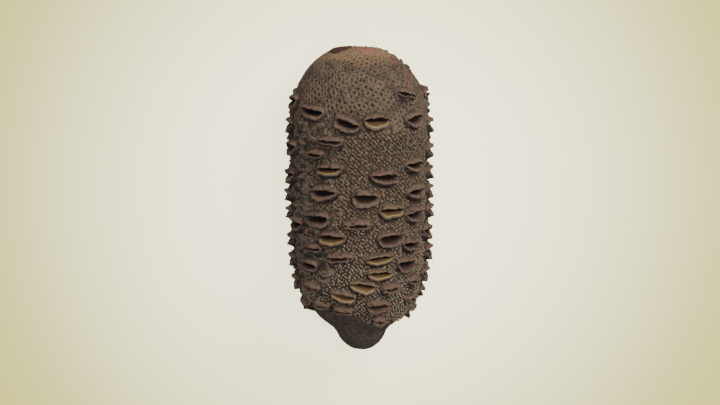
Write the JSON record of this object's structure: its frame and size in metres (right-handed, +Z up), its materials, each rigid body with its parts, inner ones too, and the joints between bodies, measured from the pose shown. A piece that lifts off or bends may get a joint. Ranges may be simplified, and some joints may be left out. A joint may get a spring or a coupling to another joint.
{
  "type": "banksia seed cone",
  "caption": "Woody seed cone of a giant banksia lying on its side, its pitted, beaded surface set with open two-valved seed follicles and a short stalk.",
  "frame": {"origin": "on the surface that the cone lies on, under the middle of its box", "axes": "+Y along the cone's axis towards the crown, the cut stalk at -Y; +Z up, away from the surface it lies on; +X to the right of the side that the picture shows"},
  "size_m": [0.1033, 0.2091, 0.102],
  "materials": {
    "cone_wood": "matt weathered woody bracts and valves, dull brown"
  },
  "bodies": {
    "root": {"cone": "cone_wood"}
  },
  "joints": []
}
